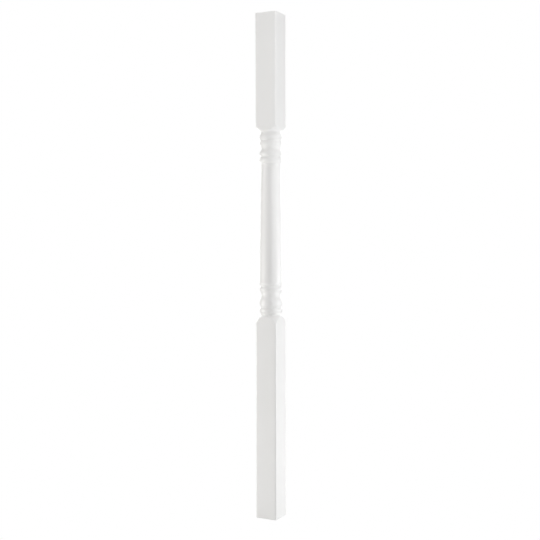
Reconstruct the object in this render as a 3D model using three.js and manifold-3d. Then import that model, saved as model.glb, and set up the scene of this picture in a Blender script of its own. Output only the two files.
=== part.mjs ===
// A porch post: one square bar, left square at both ends and worked round between them.
// Millimetres, +Z up. The origin is the middle of the foot, and the flats face +X, -X, +Y and -Y.
import * as THREE from "three";
import { mergeVertices } from "three/addons/utils/BufferGeometryUtils.js";
import Module from "manifold-3d";

// The square bar
const postLength = 2438.4; // 8 ft
const postSide = 111.125; // 4 3/8 in across the flats
const edgeRadius = 7.94; // 5/16 in on the four long edges

// The two square blocks, and the shoulders that lead from them into the round part
const lowerBlockHeight = 934;
const upperBlockHeight = 540;
const roundShoulderHeight = 54;
const roundShoulderSwell = 6.2; // how far its arc stands out from a straight line
const coneShoulderHeight = 28.5;

// Round radii, each given as a depth below the widest circle
const flatClearance = 0.2; // the widest circle stays this far inside the flats
const slimBeadCut = 1.1;
const shaftFootCut = 0.5;
const quirkCut = 6;
const neckCut = 7.3;
const shaftHeadCut = 9.5;
const coveCut = 9.4;

// Heights along the round part, and the arc that each bead is cut to
const lowerNeckHeight = 8.5;
const upperNeckHeight = 7;
const quirkHeight = 4;
const lowerCoveHeight = 30;
const upperCoveHeight = 24;
const beadArcRadius = 19;
const torusArcRadius = 38;
const shaftEntasis = 0.8; // how far the shaft swells beyond a straight taper

// Facets
const facetsRound = 48;
const facetsPerEdge = 4;
const facetsPerBead = 6;
const facetsPerTorus = 8;
const facetsPerCove = 6;
const facetsPerShoulder = 8;
const facetsPerShaft = 6;
const weldDistance = 1e-4;

const halfSide = postSide / 2;
const cornerReach = halfSide * Math.SQRT2; // where the bar's corners would be if they were sharp
const clearOfBar = cornerReach + flatClearance; // a circle that leaves the blocks square
const widestRadius = halfSide - flatClearance;
const slimBeadRadius = widestRadius - slimBeadCut;
const shaftFootRadius = widestRadius - shaftFootCut;
const quirkRadius = widestRadius - quirkCut;
const neckRadius = widestRadius - neckCut;
const shaftHeadRadius = widestRadius - shaftHeadCut;
const coveRadius = widestRadius - coveCut;

// An outline in the (radius, height) plane, drawn upwards. Each method adds one moulding on top of the last.
class Turning {
  constructor(radius, height) {
    this.points = [new THREE.Vector2(radius, height)];
  }

  get top() {
    return this.points[this.points.length - 1];
  }

  // Straight to a radius, up by a height: a cylinder, a cone or a flat step.
  line(radius, height) {
    this.points.push(new THREE.Vector2(radius, this.top.y + height));
    return this;
  }

  // An arc to a radius, up by a height. A swell above zero stands out, and one below zero is hollow.
  bow(radius, height, swell, facets) {
    const start = this.top.clone();
    const along = new THREE.Vector2(radius - start.x, height);
    const halfChord = along.length() / 2;
    const arcRadius = (halfChord ** 2 + swell ** 2) / (2 * Math.abs(swell));
    const halfAngle = Math.asin(halfChord / arcRadius);
    along.normalize();
    const outward = new THREE.Vector2(along.y, -along.x).multiplyScalar(Math.sign(swell));
    for (let i = 1; i <= facets; i += 1) {
      const angle = halfAngle * ((2 * i) / facets - 1);
      const point = start.clone();
      point.addScaledVector(along, halfChord + arcRadius * Math.sin(angle));
      point.addScaledVector(outward, arcRadius * (Math.cos(angle) - Math.cos(halfAngle)));
      this.points.push(point);
    }
    return this;
  }

  // A convex bead: an arc of a given radius that stands out to a peak and ends at the radius above it.
  bead(peakRadius, radiusAbove, arcRadius, facets) {
    const centreRadius = peakRadius - arcRadius;
    const startAngle = -Math.acos((this.top.x - centreRadius) / arcRadius);
    const endAngle = Math.acos((radiusAbove - centreRadius) / arcRadius);
    const centreHeight = this.top.y - arcRadius * Math.sin(startAngle);
    for (let i = 1; i <= facets; i += 1) {
      const angle = startAngle + ((endAngle - startAngle) * i) / facets;
      this.points.push(
        new THREE.Vector2(
          centreRadius + arcRadius * Math.cos(angle),
          centreHeight + arcRadius * Math.sin(angle),
        ),
      );
    }
    return this;
  }

  // A concave cove between two equal lips, deepest halfway up.
  cove(throatRadius, height) {
    return this.bow(this.top.x, height, throatRadius - this.top.x, facetsPerCove);
  }

  // How high the mouldings stand above their start.
  get rise() {
    return this.top.y - this.points[0].y;
  }

  // Sets another outline on top of this one.
  add(other) {
    const lift = this.top.y - other.points[0].y;
    other.points.slice(1).forEach((p) => this.points.push(new THREE.Vector2(p.x, p.y + lift)));
    return this;
  }

  // Closes the outline on the axis at both ends and spins it into a solid about Z.
  spin() {
    const foot = new THREE.Vector2(0, this.points[0].y);
    const head = new THREE.Vector2(0, this.top.y);
    return new THREE.LatheGeometry([foot, ...this.points, head], facetsRound).rotateX(Math.PI / 2);
  }
}

// From the lower shoulder up: neck, bead, torus, long cove, slim bead, and the bead that the shaft stands on.
function lowerMouldings() {
  return new Turning(neckRadius, 0)
    .line(neckRadius, lowerNeckHeight)
    .bead(widestRadius, quirkRadius, beadArcRadius, facetsPerBead)
    .line(quirkRadius, quirkHeight)
    .bead(widestRadius, quirkRadius, torusArcRadius, facetsPerTorus)
    .cove(coveRadius, lowerCoveHeight)
    .bead(slimBeadRadius, quirkRadius, beadArcRadius, facetsPerBead)
    .line(quirkRadius, quirkHeight)
    .bead(widestRadius, shaftFootRadius, beadArcRadius, facetsPerBead);
}

// From the shaft up: bead, slim bead, cove, slim bead, bead, and a short neck under the upper shoulder.
function upperMouldings() {
  return new Turning(shaftHeadRadius, 0)
    .bead(widestRadius, quirkRadius, beadArcRadius, facetsPerBead)
    .line(quirkRadius, quirkHeight)
    .bead(slimBeadRadius, quirkRadius, beadArcRadius, facetsPerBead)
    .cove(coveRadius, upperCoveHeight)
    .bead(slimBeadRadius, quirkRadius, beadArcRadius, facetsPerBead)
    .line(quirkRadius, quirkHeight)
    .bead(widestRadius, neckRadius, beadArcRadius, facetsPerBead)
    .line(neckRadius, upperNeckHeight);
}

// What the turning leaves: all of the bar along the blocks, and the round outline between them.
function turnedGeometry() {
  const upper = upperMouldings();
  const shaftTop = postLength - upperBlockHeight - coneShoulderHeight - upper.rise;
  const turning = new Turning(clearOfBar, 0)
    .line(clearOfBar, lowerBlockHeight)
    .line(cornerReach, 0)
    .bow(neckRadius, roundShoulderHeight, roundShoulderSwell, facetsPerShoulder)
    .add(lowerMouldings());
  turning
    .bow(shaftHeadRadius, shaftTop - turning.top.y, shaftEntasis, facetsPerShaft)
    .add(upper)
    .line(cornerReach, coneShoulderHeight)
    .line(clearOfBar, 0)
    .line(clearOfBar, upperBlockHeight);
  return turning.spin();
}

// The square bar with its long edges eased.
function barGeometry() {
  const edgeCentre = halfSide - edgeRadius;
  const section = new THREE.Shape();
  [[1, -1], [1, 1], [-1, 1], [-1, -1]].forEach(([x, y], corner) => {
    const startAngle = ((corner - 1) * Math.PI) / 2;
    section.absarc(x * edgeCentre, y * edgeCentre, edgeRadius, startAngle, startAngle + Math.PI / 2);
  });
  return new THREE.ExtrudeGeometry(section, {
    depth: postLength,
    bevelEnabled: false,
    curveSegments: facetsPerEdge,
  });
}

const wasm = await Module();
wasm.setup();

function solidFrom(geometry) {
  geometry.deleteAttribute("normal");
  geometry.deleteAttribute("uv");
  const merged = mergeVertices(geometry, weldDistance);
  return new wasm.Manifold(
    new wasm.Mesh({
      numProp: 3,
      vertProperties: merged.attributes.position.array,
      triVerts: new Uint32Array(merged.index.array),
    }),
  );
}

function geometryFrom(solid) {
  const { vertProperties, triVerts } = solid.getMesh();
  const geometry = new THREE.BufferGeometry();
  geometry.setAttribute("position", new THREE.BufferAttribute(vertProperties, 3));
  geometry.setIndex(new THREE.BufferAttribute(triVerts, 1));
  const faceted = geometry.toNonIndexed();
  faceted.computeVertexNormals();
  return faceted;
}

const satinWhite = new THREE.MeshStandardMaterial({
  color: 0xf2f1ee,
  roughness: 0.35,
  metalness: 0,
});

const turnedPost = new THREE.Mesh(
  geometryFrom(solidFrom(barGeometry()).intersect(solidFrom(turnedGeometry()))),
  satinWhite,
);
turnedPost.name = "turned_post";

const post = new THREE.Group();
post.add(turnedPost);

export default post;
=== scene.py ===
"""A porch post in satin white vinyl, square at both ends and turned between them. Metres, +Z up."""

import logging
import math
from collections.abc import Mapping, Sequence
from dataclasses import dataclass, field
from enum import Enum
from typing import Union

import bpy
import numpy as np
from mathutils import Matrix, Vector


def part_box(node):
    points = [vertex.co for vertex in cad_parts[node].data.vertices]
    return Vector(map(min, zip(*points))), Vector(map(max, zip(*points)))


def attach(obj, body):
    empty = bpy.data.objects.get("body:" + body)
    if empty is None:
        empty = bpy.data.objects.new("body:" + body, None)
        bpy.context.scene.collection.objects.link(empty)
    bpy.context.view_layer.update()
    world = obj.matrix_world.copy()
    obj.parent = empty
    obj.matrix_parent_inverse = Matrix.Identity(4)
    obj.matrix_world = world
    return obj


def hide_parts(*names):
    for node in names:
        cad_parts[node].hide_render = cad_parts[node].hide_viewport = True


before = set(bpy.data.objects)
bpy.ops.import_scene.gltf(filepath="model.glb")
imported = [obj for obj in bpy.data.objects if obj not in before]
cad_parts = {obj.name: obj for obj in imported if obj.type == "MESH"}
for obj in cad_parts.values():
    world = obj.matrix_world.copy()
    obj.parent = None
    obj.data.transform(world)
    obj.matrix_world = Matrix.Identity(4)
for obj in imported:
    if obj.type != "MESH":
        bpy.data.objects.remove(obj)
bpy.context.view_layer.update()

log = logging.getLogger("porch_post")

Number = Union[float, "Value"]
Colour = tuple[float, float, float, float]
Shade = Union[Colour, bpy.types.NodeSocket]

WHITE: Colour = (1.0, 1.0, 1.0, 1.0)


def around(bearing: float, distance: float, height: float) -> Vector:
    """The point at a distance from the post's axis, in the direction that lies bearing degrees from -Y."""
    turn = math.radians(bearing)
    return Vector((distance * math.sin(turn), -distance * math.cos(turn), height))


def add_object(name: str, data: bpy.types.ID) -> bpy.types.Object:
    """Makes an object and puts it in the scene.

    Args:
        name: its name.
        data: the mesh, light or camera that it shows.

    Returns:
        The object.
    """
    made = bpy.data.objects.new(name, data)
    bpy.context.scene.collection.objects.link(made)
    return made


class Bead(Enum):
    """The three convex mouldings that are cut on the post."""

    FULL = "full"
    SLIM = "slim"
    TORUS = "torus"


class Outline:
    """The edge of the turned part as radius against height, drawn upwards one moulding at a time."""

    def __init__(self, radius: float, height: float, row_step: float) -> None:
        """Starts at a point, with the spacing that the rows keep along every moulding."""
        self.radii = np.array([radius])
        self.heights = np.array([height])
        self.row_step = row_step

    @property
    def radius(self) -> float:
        """The radius at the top of what is drawn so far."""
        return float(self.radii[-1])

    @property
    def top(self) -> float:
        """The height of the top of what is drawn so far."""
        return float(self.heights[-1])

    def _rows(self, rise: float) -> int:
        """How many rows a moulding of this rise is given, at the outline's own spacing."""
        return max(2, math.ceil(rise / self.row_step))

    def _append(self, radii: np.ndarray, heights: np.ndarray) -> "Outline":
        """Adds points above the last one."""
        self.radii = np.append(self.radii, radii)
        self.heights = np.append(self.heights, heights)
        return self

    def line(self, radius: float, rise: float) -> "Outline":
        """Draws a straight line: radius and height both change in proportion.

        Args:
            radius: the radius at its upper end.
            rise: how far it climbs.

        Returns:
            The outline itself.
        """
        share = np.linspace(0, 1, self._rows(rise) + 1)[1:]
        return self._append(self.radius + share * (radius - self.radius), self.top + share * rise)

    def bow(self, radius: float, rise: float, swell: float, rows: int = 0) -> "Outline":
        """Draws an arc whose middle stands a given distance off its chord.

        With half chord c and swell s the arc's radius is (c^2 + s^2) / 2s. A point at angle a from the
        middle lies R sin a along the chord and R (cos a - cos a_end) off it.

        Args:
            radius: the radius at its upper end.
            rise: how far it climbs.
            swell: above zero it stands out, and below zero it is hollow.
            rows: how many rows it has, or zero for the outline's own spacing.

        Returns:
            The outline itself.
        """
        across, half_chord = radius - self.radius, math.hypot(radius - self.radius, rise) / 2
        arc_radius = (half_chord**2 + swell**2) / (2 * abs(swell))
        end = math.asin(half_chord / arc_radius)
        angles = end * np.linspace(-1, 1, (rows or self._rows(rise)) + 1)[1:]
        along = half_chord + arc_radius * np.sin(angles)
        off = math.copysign(1, swell) * arc_radius * (np.cos(angles) - math.cos(end))
        length = 2 * half_chord
        return self._append(
            self.radius + (along * across + off * rise) / length,
            self.top + (along * rise - off * across) / length,
        )

    def bead(self, peak: float, above: float, arc_radius: float) -> "Outline":
        """Draws a convex arc of a given radius whose centre lies that far inside its peak.

        Args:
            peak: the greatest radius.
            above: the radius where it ends.
            arc_radius: the radius of the arc.

        Returns:
            The outline itself.
        """
        centre = peak - arc_radius
        start = -math.acos((self.radius - centre) / arc_radius)
        end = math.acos((above - centre) / arc_radius)
        base = self.top - arc_radius * math.sin(start)
        rise = arc_radius * (math.sin(end) - math.sin(start))
        angles = np.linspace(start, end, self._rows(rise) + 1)[1:]
        return self._append(centre + arc_radius * np.cos(angles), base + arc_radius * np.sin(angles))

    def cove(self, throat: float, rise: float) -> "Outline":
        """Draws a hollow between two equal lips, deepest halfway up."""
        return self.bow(self.radius, rise, throat - self.radius)

    def rise(self) -> float:
        """How far the outline climbs in all."""
        return self.top - float(self.heights[0])

    def add(self, other: "Outline") -> "Outline":
        """Sets another outline on top of this one."""
        return self._append(other.radii[1:], other.heights[1:] - other.heights[0] + self.top)


@dataclass
class TurnedPost:
    """The post: a square bar with eased long edges, left square at both ends and worked round between."""

    # The square bar
    side: float
    length: float
    edge_radius: float = 0.00794
    end_arris: float = 0.0008

    # The two square blocks, and the shoulders that lead from them into the round part
    lower_block: float = 0.934
    upper_block: float = 0.540
    round_shoulder: float = 0.054
    round_shoulder_swell: float = 0.0062
    cone_shoulder: float = 0.0285

    # How far the widest circle stays inside the flats, and how much deeper each round part is cut
    clearance: float = 0.0002
    slim_bead_cut: float = 0.0011
    shaft_foot_cut: float = 0.0005
    quirk_cut: float = 0.006
    neck_cut: float = 0.0073
    shaft_head_cut: float = 0.0095
    cove_cut: float = 0.0094

    # Heights along the round part, the arc that each bead is cut to, and the swell of the shaft
    lower_neck: float = 0.0085
    upper_neck: float = 0.007
    quirk: float = 0.004
    lower_cove: float = 0.030
    upper_cove: float = 0.024
    bead_arc: float = 0.019
    torus_arc: float = 0.038
    shaft_entasis: float = 0.0008

    # How wide the crease between a flat and the round part is, and how the other arrises are rounded
    crease: float = 0.0012
    no_crease: float = 1e-9
    softening: float = 0.0004
    softening_samples: int = 5

    # The grid: rows up the post, columns round it, and the rings across each end as shares of its width
    row_step: float = 0.0012
    shaft_rows: int = 22
    lower_block_rows: int = 9
    upper_block_rows: int = 7
    guard_steps: tuple[int, ...] = (1, 3)
    arris_rows: int = 4
    end_rings: tuple[float, ...] = (0.12, 0.3, 0.5, 0.7, 0.86, 0.95, 0.98)
    columns: int = 240
    corner_pull: float = 0.72
    name: str = "porch_post"

    @property
    def half(self) -> float:
        """Half the distance across the flats."""
        return self.side / 2

    @property
    def corner(self) -> float:
        """The radius of the bar's corners, as if they were sharp."""
        return self.half * math.sqrt(2)

    @property
    def widest(self) -> float:
        """The radius of the widest round part, just inside the flats."""
        return self.half - self.clearance

    def cut_to(self, depth: float) -> float:
        """The radius that a cut of this depth leaves."""
        return self.widest - depth

    def _outline(self, radius: float, height: float) -> Outline:
        """Starts an outline at the spacing that this post's rows keep."""
        return Outline(radius, height, self.row_step)

    def _bead(self, outline: Outline, kind: Bead, above: float) -> Outline:
        """Cuts one bead of a named kind.

        Args:
            outline: the outline that it goes on.
            kind: which bead.
            above: the radius where it ends.

        Returns:
            The same outline.
        """
        peak = self.cut_to(self.slim_bead_cut) if kind is Bead.SLIM else self.widest
        return outline.bead(peak, above, self.torus_arc if kind is Bead.TORUS else self.bead_arc)

    def lower_mouldings(self) -> Outline:
        """Draws neck, bead, torus, long cove, slim bead, and the bead that the shaft stands on."""
        quirk, neck = self.cut_to(self.quirk_cut), self.cut_to(self.neck_cut)
        outline = self._outline(neck, 0).line(neck, self.lower_neck)
        self._bead(outline, Bead.FULL, quirk).line(quirk, self.quirk)
        self._bead(outline, Bead.TORUS, quirk).cove(self.cut_to(self.cove_cut), self.lower_cove)
        self._bead(outline, Bead.SLIM, quirk).line(quirk, self.quirk)
        return self._bead(outline, Bead.FULL, self.cut_to(self.shaft_foot_cut))

    def upper_mouldings(self) -> Outline:
        """Draws bead, slim bead, short cove, slim bead, bead, and the neck under the upper shoulder."""
        quirk, neck = self.cut_to(self.quirk_cut), self.cut_to(self.neck_cut)
        outline = self._outline(self.cut_to(self.shaft_head_cut), 0)
        self._bead(outline, Bead.FULL, quirk).line(quirk, self.quirk)
        self._bead(outline, Bead.SLIM, quirk).cove(self.cut_to(self.cove_cut), self.upper_cove)
        self._bead(outline, Bead.SLIM, quirk).line(quirk, self.quirk)
        return self._bead(outline, Bead.FULL, neck).line(neck, self.upper_neck)

    def turned_outline(self) -> Outline:
        """Draws everything between the blocks, from the bar's full corner to its full corner.

        Returns:
            The outline from the foot of the lower shoulder to the head of the upper one.
        """
        upper = self.upper_mouldings()
        shaft_top = self.length - self.upper_block - self.cone_shoulder - upper.rise()
        outline = self._outline(self.corner, self.lower_block)
        outline.bow(self.cut_to(self.neck_cut), self.round_shoulder, self.round_shoulder_swell)
        outline.add(self.lower_mouldings())
        rise = shaft_top - outline.top
        outline.bow(self.cut_to(self.shaft_head_cut), rise, self.shaft_entasis, self.shaft_rows)
        return outline.add(upper).line(self.corner, self.cone_shoulder)

    def bar_radius(self, angles: np.ndarray) -> np.ndarray:
        """How far the square bar reaches from the axis in each direction.

        With the direction folded into one eighth, a flat lies at half side / cos. An eased edge is the
        far root of |r u - c| = edge radius, where c is the middle of its arc and u the direction.

        Args:
            angles: directions round the axis, in radians.

        Returns:
            The distance to the surface in each direction.
        """
        quarter = math.pi / 2
        fold = np.abs((angles + quarter / 2) % quarter - quarter / 2)
        centre = self.half - self.edge_radius
        reach = centre * (np.cos(fold) + np.sin(fold))
        eased = reach + np.sqrt(np.maximum(reach**2 - 2 * centre**2 + self.edge_radius**2, 0))
        return np.where(self.half * np.tan(fold) > centre, eased, self.half / np.cos(fold))

    def directions(self) -> np.ndarray:
        """The columns' directions round the axis, drawn closer together at the four corners.

        An even turn u becomes u + pull sin(4u) / 4, which is slowest at the corners.

        Returns:
            The directions, in radians.
        """
        turn = np.arange(self.columns) * 2 * math.pi / self.columns
        return turn + self.corner_pull / 4 * np.sin(4 * turn)

    def _plain_rows(self, low: float, high: float, count: int) -> np.ndarray:
        """Rows along a plain stretch, with a few more close to each end that keep the shading level."""
        near = self.row_step * np.array(self.guard_steps)
        return np.unique(np.concatenate([np.linspace(low, high, count), low + near, high - near]))

    def wall(self) -> tuple[np.ndarray, np.ndarray, np.ndarray]:
        """The upright surface on a grid of rows and columns.

        The radius is the smaller of the bar's and the outline's. Near the line where they meet, by less
        than the crease, it is drawn in by h^2 crease / 4, with h the share of the crease that is left.
        The outline is first averaged over a short window, which rounds the arrises of the mouldings.

        Returns:
            The radii (rows, columns), the heights (rows), and how far each point is turned, 0 to 1.
        """
        outline = self.turned_outline()
        heights = np.concatenate(
            [
                self._plain_rows(self.end_arris, self.lower_block, self.lower_block_rows)[:-1],
                outline.heights,
                self._plain_rows(outline.top, self.length - self.end_arris, self.upper_block_rows)[1:],
            ]
        )
        window = self.softening * np.linspace(-1, 1, self.softening_samples)
        known = np.concatenate([[0], outline.heights, [self.length]])
        edge = np.concatenate([[self.corner], outline.radii, [self.corner]])
        turned = np.interp(heights[:, None] + window, known, edge).mean(1)
        on_blocks = (heights < self.lower_block) | (heights > outline.top)
        turned = np.where(on_blocks, self.corner + self.crease, turned)[:, None]
        bar = self.bar_radius(self.directions())[None, :]
        shoulder_top = self.lower_block + self.round_shoulder
        shoulder_foot = outline.top - self.cone_shoulder
        near_blocks = (heights < shoulder_top) | (heights > shoulder_foot)
        crease = np.where(near_blocks, self.crease, self.no_crease)[:, None]
        left = np.maximum(crease - np.abs(bar - turned), 0) / crease
        radii = np.minimum(bar, turned) - left**2 * crease / 4
        worked = np.clip((bar - turned) / crease / 2 + 0.5, 0, 1) * np.ones_like(radii)
        return radii, heights, worked

    def surface(self) -> tuple[np.ndarray, np.ndarray, np.ndarray]:
        """The whole skin: the wall, a small arris round each end, and the flat ends in rings.

        The arris is a quarter round: at angle t its inset is e (1 - sin t) and its height e (1 - cos t).

        Returns:
            The points (rows, columns, 3), how far each is turned, and 1 on the sawn ends.
        """
        radii, heights, worked = self.wall()
        quarter = np.linspace(0, math.pi / 2, self.arris_rows, endpoint=False)
        inset = 1 - self.end_arris * (1 - np.sin(quarter)) / self.half
        rings = np.array(self.end_rings)
        scale = np.concatenate([rings, inset, np.ones(len(heights)), inset[::-1], rings[::-1]])
        lift = np.concatenate([np.zeros(len(rings)), self.end_arris * (1 - np.cos(quarter))])
        level = np.concatenate([lift, heights, self.length - lift[::-1]])
        extra = len(rings) + len(quarter)
        rows = np.clip(np.arange(len(level)) - extra, 0, len(heights) - 1)
        reach = radii[rows] * scale[:, None]
        angles = self.directions()[None, :]
        points = np.stack(
            [reach * np.cos(angles), reach * np.sin(angles), np.broadcast_to(level[:, None], reach.shape)],
            axis=-1,
        )
        sawn = np.broadcast_to((scale < inset[0])[:, None], reach.shape).astype(float)
        return points, worked[rows], sawn

    def build(self) -> bpy.types.Object:
        """Makes the post's mesh: the skin's grid, closed at a pole in the middle of each end.

        Returns:
            The finished object, smooth shaded, at the origin.
        """
        points, worked, sawn = self.surface()
        rows, columns = points.shape[:2]
        index = np.arange(rows * columns).reshape(rows, columns)
        right = np.roll(index, -1, axis=1)
        quads = np.stack([index[:-1], right[:-1], right[1:], index[1:]], axis=-1).reshape(-1, 4)
        foot, head = rows * columns, rows * columns + 1
        foot_fan = np.stack([right[0], index[0], np.full(columns, foot)], axis=-1)
        head_fan = np.stack([index[-1], right[-1], np.full(columns, head)], axis=-1)
        vertices = np.concatenate([points.reshape(-1, 3), [[0, 0, 0], [0, 0, self.length]]])
        mesh = bpy.data.meshes.new(self.name)
        mesh.from_pydata(vertices.tolist(), [], quads.tolist() + foot_fan.tolist() + head_fan.tolist())
        for label, values, pole in (("worked", worked, 0.0), ("sawn", sawn, 1.0)):
            attribute = mesh.attributes.new(label, "FLOAT", "POINT")
            attribute.data.foreach_set("value", np.append(values.ravel(), [pole, pole]).astype(np.float32))
        mesh.shade_smooth()
        return add_object(self.name, mesh)


class Value:
    """A number that a shader works out, which takes Python's arithmetic."""

    def __init__(self, graph: "Graph", socket: bpy.types.NodeSocket) -> None:
        """Keeps the graph that further nodes join, and the socket that the number comes from."""
        self.graph = graph
        self.socket = socket

    def _maths(self, operation: str, *numbers: Number) -> "Value":
        """Adds one Math node and gives its result."""
        return self.graph.value("ShaderNodeMath", 0, {"operation": operation}, dict(enumerate(numbers)))

    def __add__(self, other: Number) -> "Value":
        """self + other."""
        return self._maths("ADD", self, other)

    def __radd__(self, other: Number) -> "Value":
        """other + self."""
        return self._maths("ADD", other, self)

    def __sub__(self, other: Number) -> "Value":
        """self - other."""
        return self._maths("SUBTRACT", self, other)

    def __rsub__(self, other: Number) -> "Value":
        """other - self."""
        return self._maths("SUBTRACT", other, self)

    def __mul__(self, other: Number) -> "Value":
        """self * other."""
        return self._maths("MULTIPLY", self, other)

    def __rmul__(self, other: Number) -> "Value":
        """other * self."""
        return self._maths("MULTIPLY", other, self)


class Graph:
    """The nodes of one material or of the world."""

    def __init__(self, tree: bpy.types.NodeTree) -> None:
        """Takes over a node tree and empties it."""
        self.tree = tree
        tree.nodes.clear()

    def node(
        self,
        kind: str,
        settings: Mapping[str, object] | None = None,
        inputs: Mapping[str | int, object] | None = None,
    ) -> bpy.types.Node:
        """Adds a node.

        Args:
            kind: the node's type.
            settings: its own settings, which are set first.
            inputs: the values of its sockets, or the values or sockets that are linked to them.

        Returns:
            The node.
        """
        made = self.tree.nodes.new(kind)
        for name, setting in (settings or {}).items():
            setattr(made, name, setting)
        for key, given in (inputs or {}).items():
            source = given.socket if isinstance(given, Value) else given
            if isinstance(source, bpy.types.NodeSocket):
                self.tree.links.new(source, made.inputs[key])
            else:
                made.inputs[key].default_value = source
        return made

    def value(
        self,
        kind: str,
        output: str | int,
        settings: Mapping[str, object] | None = None,
        inputs: Mapping[str | int, object] | None = None,
    ) -> Value:
        """Adds a node and gives one of its outputs as a number.

        Args:
            kind: the node's type.
            output: which of its outputs.
            settings: its own settings.
            inputs: the values of its sockets or what is linked to them.

        Returns:
            The output, ready for arithmetic.
        """
        return Value(self, self.node(kind, settings, inputs).outputs[output])

    def blend(self, share: Value, first: Shade, second: Shade) -> bpy.types.NodeSocket:
        """The colour that lies a given share of the way from the first to the second."""
        inputs = {0: share, 6: first, 7: second}
        return self.node("ShaderNodeMix", {"data_type": "RGBA"}, inputs).outputs[2]


def new_material(name: str) -> tuple[bpy.types.Material, Graph]:
    """Makes an empty material of nodes.

    Args:
        name: its name.

    Returns:
        The material, and the graph that its nodes are added to.
    """
    material = bpy.data.materials.new(name)
    material.use_nodes = True
    return material, Graph(material.node_tree)


@dataclass(frozen=True)
class SatinWhite:
    """Smooth white vinyl: a soft sheen, faint lengthwise lines on the flats, faint rings on the rounds."""

    name: str = "satin_white"
    pale: Colour = (0.886, 0.883, 0.875, 1.0)
    deep: Colour = (0.868, 0.864, 0.855, 1.0)
    sawn: Colour = (0.842, 0.837, 0.824, 1.0)
    roughness: float = 0.34
    sawn_roughness: float = 0.62
    cloud_roughness: float = 0.10
    grain_roughness: float = 0.05
    index: float = 1.53

    # The size of each pattern's grain, and how far it stands up from the surface
    cloud_size: float = 0.30
    line_width: float = 0.0022
    line_length: float = 0.70
    ring_width: float = 0.0013
    peel_size: float = 0.0030
    peel_share: float = 0.6
    saw_mark_width: float = 0.0016
    relief: float = 0.000012
    saw_relief: float = 0.00009

    def _noise(
        self, graph: Graph, place: bpy.types.NodeSocket, sizes: Sequence[float], detail: float
    ) -> Value:
        """Noise whose grain has the given size along each axis.

        Args:
            graph: the material's nodes.
            place: the object coordinates.
            sizes: the grain's size along X, Y and Z, in metres.
            detail: how many finer layers it has.

        Returns:
            Noise about 0.5.
        """
        scaled = graph.node(
            "ShaderNodeVectorMath",
            {"operation": "MULTIPLY"},
            {0: place, 1: tuple(1 / size for size in sizes)},
        ).outputs[0]
        inputs = {"Vector": scaled, "Scale": 1.0, "Detail": detail}
        return graph.value("ShaderNodeTexNoise", 0, None, inputs)

    def build(self) -> bpy.types.Material:
        """Makes the material from the post's own coordinates and its two attributes.

        The cloud between the two whites is stretched to twice its range about one half.

        Returns:
            The material.
        """
        material, graph = new_material(self.name)
        place = graph.node("ShaderNodeTexCoord").outputs["Object"]
        worked = graph.value("ShaderNodeAttribute", "Fac", {"attribute_name": "worked"})
        sawn = graph.value("ShaderNodeAttribute", "Fac", {"attribute_name": "sawn"})
        long = self.line_length
        cloud = self._noise(graph, place, [self.cloud_size] * 3, detail=3.0)
        lines = self._noise(graph, place, [self.line_width, self.line_width, long], detail=2.0)
        rings = self._noise(graph, place, [long, long, self.ring_width], detail=1.0)
        peel = self._noise(graph, place, [self.peel_size] * 3, detail=1.0)
        marks = self._noise(graph, place, [self.saw_mark_width, long, long], detail=2.0)
        colour = graph.blend(sawn, graph.blend(2 * cloud - 0.5, self.pale, self.deep), self.sawn)
        grain = worked * rings + (1 - worked) * lines
        skin = self.relief * (grain + self.peel_share * peel)
        height = (1 - sawn) * skin + sawn * marks * self.saw_relief
        bump = graph.node("ShaderNodeBump", None, {"Strength": 1.0, "Distance": 1.0, "Height": height})
        sheen = self.roughness + self.cloud_roughness * (cloud - 0.5) + self.grain_roughness * (grain - 0.5)
        roughness = sheen + sawn * (self.sawn_roughness - self.roughness)
        shader = graph.node(
            "ShaderNodeBsdfPrincipled",
            None,
            {
                "Base Color": colour,
                "Roughness": roughness,
                "IOR": self.index,
                "Normal": bump.outputs[0],
            },
        )
        graph.node("ShaderNodeOutputMaterial", None, {"Surface": shader.outputs[0]})
        return material


@dataclass(frozen=True)
class StudioWhite:
    """The pale floor's matt finish, lit so brightly that it is plain white to the eye."""

    name: str = "studio_white"
    colour: Colour = (0.90, 0.90, 0.90, 1.0)
    mottle: float = 0.02
    mottle_scale: float = 3.0
    roughness: float = 0.9

    def build(self) -> bpy.types.Material:
        """Makes the material: matt for the light that it passes on, and white where it is looked at.

        Returns:
            The material.
        """
        material, graph = new_material(self.name)
        place = graph.node("ShaderNodeTexCoord").outputs["Object"]
        noise = graph.value("ShaderNodeTexNoise", 0, None, {"Vector": place, "Scale": self.mottle_scale})
        darker = tuple(part * (1 - self.mottle) for part in self.colour[:3]) + (1.0,)
        finish = {"Base Color": graph.blend(noise, self.colour, darker), "Roughness": self.roughness}
        matt = graph.node("ShaderNodeBsdfPrincipled", None, finish).outputs[0]
        white = graph.node("ShaderNodeEmission", None, {"Color": WHITE}).outputs[0]
        direct = graph.node("ShaderNodeLightPath").outputs["Is Camera Ray"]
        shown = graph.node("ShaderNodeMixShader", None, {0: direct, 1: matt, 2: white})
        graph.node("ShaderNodeOutputMaterial", None, {"Surface": shown.outputs[0]})
        return material


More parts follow.
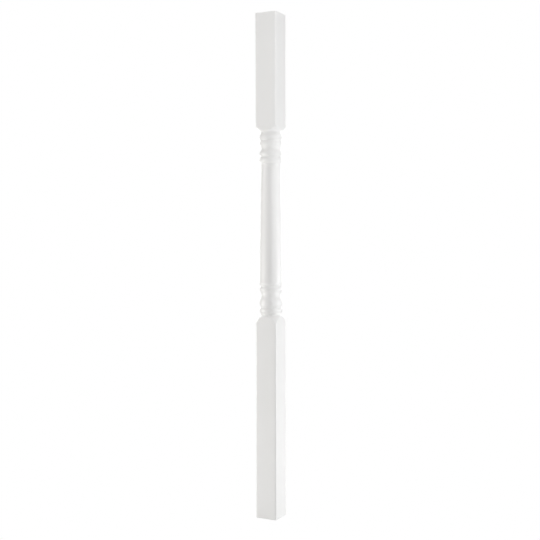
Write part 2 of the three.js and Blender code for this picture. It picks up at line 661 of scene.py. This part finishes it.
@dataclass(frozen=True)
class Viewpoint:
    """Where the camera stands and how it is turned: metres, degrees, and millimetres for its lens."""

    bearing: float = 27.244
    distance: float = 4.5516
    height: float = 1.3491
    tilt: float = -1.8013
    swing: float = 0.0511
    roll: float = -0.0749
    lens: float = 62.481
    sensor: float = 36.0

    def build(self) -> bpy.types.Object:
        """Makes the camera and gives it to the scene.

        Returns:
            The camera.
        """
        data = bpy.data.cameras.new("camera")
        data.lens = self.lens
        data.sensor_width = self.sensor
        camera = add_object("camera", data)
        camera.matrix_world = (
            Matrix.Translation(around(self.bearing, self.distance, self.height))
            @ Matrix.Rotation(math.radians(self.bearing + self.swing), 4, "Z")
            @ Matrix.Rotation(math.radians(90 + self.tilt), 4, "X")
            @ Matrix.Rotation(math.radians(self.roll), 4, "Z")
        )
        bpy.context.scene.camera = camera
        return camera


@dataclass(frozen=True)
class Hanging:
    """How a soft light hangs: its place, its size, and the height on the post's axis that it points at."""

    height: float
    distance: float
    width: float
    tall: float
    aim: float


class Level(Enum):
    """The ways in which the soft lights hang."""

    LOW = Hanging(height=0.45, distance=2.2, width=0.75, tall=0.9, aim=0.45)
    MIDDLE = Hanging(height=1.35, distance=2.2, width=0.75, tall=0.9, aim=1.35)
    HIGH = Hanging(height=2.25, distance=2.2, width=0.75, tall=0.9, aim=2.25)
    OVERHEAD = Hanging(height=3.6, distance=1.6, width=1.8, tall=1.2, aim=1.5)
    ABOVE = Hanging(height=3.6, distance=0.0, width=0.6, tall=0.6, aim=2.4)


class Tint(Enum):
    """The colour of a soft light."""

    WARM = (1.0, 0.986, 0.960)
    NEUTRAL = (1.0, 1.0, 1.0)
    COOL = (0.984, 0.992, 1.0)


@dataclass(frozen=True)
class Panel:
    """One soft light: a rectangle that faces the post. Its bearing is in degrees, its power in watts."""

    name: str
    bearing: float
    level: Level
    power: float
    tint: Tint = Tint.NEUTRAL

    def build(self, camera_bearing: float) -> bpy.types.Object:
        """Makes the light.

        Args:
            camera_bearing: the bearing from which the panel's own is counted, in degrees.

        Returns:
            The light.
        """
        hanging = self.level.value
        data = bpy.data.lights.new(self.name, "AREA")
        data.shape = "RECTANGLE"
        data.size = hanging.width
        data.size_y = hanging.tall
        data.energy = self.power
        data.color = self.tint.value
        place = around(camera_bearing + self.bearing, hanging.distance, hanging.height)
        facing = (Vector((0, 0, hanging.aim)) - place).to_track_quat("-Z", "Y")
        light = add_object(self.name, data)
        light.matrix_world = Matrix.Translation(place) @ facing.to_matrix().to_4x4()
        light.visible_camera = False
        return light


@dataclass
class Studio:
    """The floor, the white surroundings and the soft lights."""

    camera_bearing: float
    floor_half: float = 600.0
    floor_drop: float = 0.0005
    fill: float = 0.20
    panels: list[Panel] = field(
        default_factory=lambda: [
            Panel("left_low", -85, Level.LOW, 17.4, Tint.WARM),
            Panel("left_middle", -85, Level.MIDDLE, 4.1, Tint.WARM),
            Panel("left_high", -85, Level.HIGH, 8.8, Tint.WARM),
            Panel("left_back_low", -105, Level.LOW, 5.0, Tint.WARM),
            Panel("right_low", 85, Level.LOW, 17.6, Tint.COOL),
            Panel("right_middle", 85, Level.MIDDLE, 8.8, Tint.COOL),
            Panel("front_right_middle", 22, Level.MIDDLE, 4.9),
            Panel("front_right_high", 22, Level.HIGH, 12.0),
            Panel("back_left_middle", -160, Level.MIDDLE, 7.5),
            Panel("back_right_middle", 160, Level.MIDDLE, 7.5),
            Panel("back_left_high", -160, Level.HIGH, 6.5),
            Panel("back_right_high", 160, Level.HIGH, 6.5),
            Panel("above", 0, Level.ABOVE, 5.0),
            Panel("overhead_front", 0, Level.OVERHEAD, 15.2),
            Panel("overhead_right", 90, Level.OVERHEAD, 8.8, Tint.COOL),
        ]
    )

    def floor(self) -> bpy.types.Object:
        """Lays the floor just under the post's foot.

        Returns:
            The floor.
        """
        size, level = self.floor_half, -self.floor_drop
        corners = [(-size, -size, level), (size, -size, level), (size, size, level), (-size, size, level)]
        mesh = bpy.data.meshes.new("floor")
        mesh.from_pydata(corners, [], [(0, 1, 2, 3)])
        mesh.materials.append(StudioWhite().build())
        return add_object("floor", mesh)

    def surroundings(self) -> None:
        """White to the eye, and a weaker even fill to everything that it lights."""
        world = bpy.data.worlds.new("surroundings")
        world.use_nodes = True
        graph = Graph(world.node_tree)
        seen = graph.node("ShaderNodeBackground", None, {"Color": WHITE, "Strength": 1.0}).outputs[0]
        fill = graph.node("ShaderNodeBackground", None, {"Color": WHITE, "Strength": self.fill}).outputs[0]
        direct = graph.node("ShaderNodeLightPath").outputs["Is Camera Ray"]
        mixed = graph.node("ShaderNodeMixShader", None, {0: direct, 1: fill, 2: seen}).outputs[0]
        graph.node("ShaderNodeOutputWorld", None, {"Surface": mixed})
        bpy.context.scene.world = world

    def build(self) -> None:
        """Sets up the floor, the surroundings and every panel."""
        self.floor()
        self.surroundings()
        for panel in self.panels:
            panel.build(self.camera_bearing)


def main() -> None:
    """Builds the post, dresses it, and sets up the studio and the camera."""
    logging.basicConfig(level=logging.INFO, format="%(name)s: %(message)s")
    low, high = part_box("turned_post")
    post = TurnedPost(side=high.x - low.x, length=high.z - low.z)
    dressed = post.build()
    dressed.data.materials.append(SatinWhite().build())
    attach(dressed, "root")
    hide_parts("turned_post")
    mesh = dressed.data
    log.info("%s: %d vertices, %d faces", dressed.name, len(mesh.vertices), len(mesh.polygons))
    viewpoint = Viewpoint()
    viewpoint.build()
    studio = Studio(camera_bearing=viewpoint.bearing)
    studio.build()
    log.info("studio: a floor and %d soft lights", len(studio.panels))
    bpy.context.scene.view_settings.view_transform = "Standard"


if __name__ == "__main__":
    main()
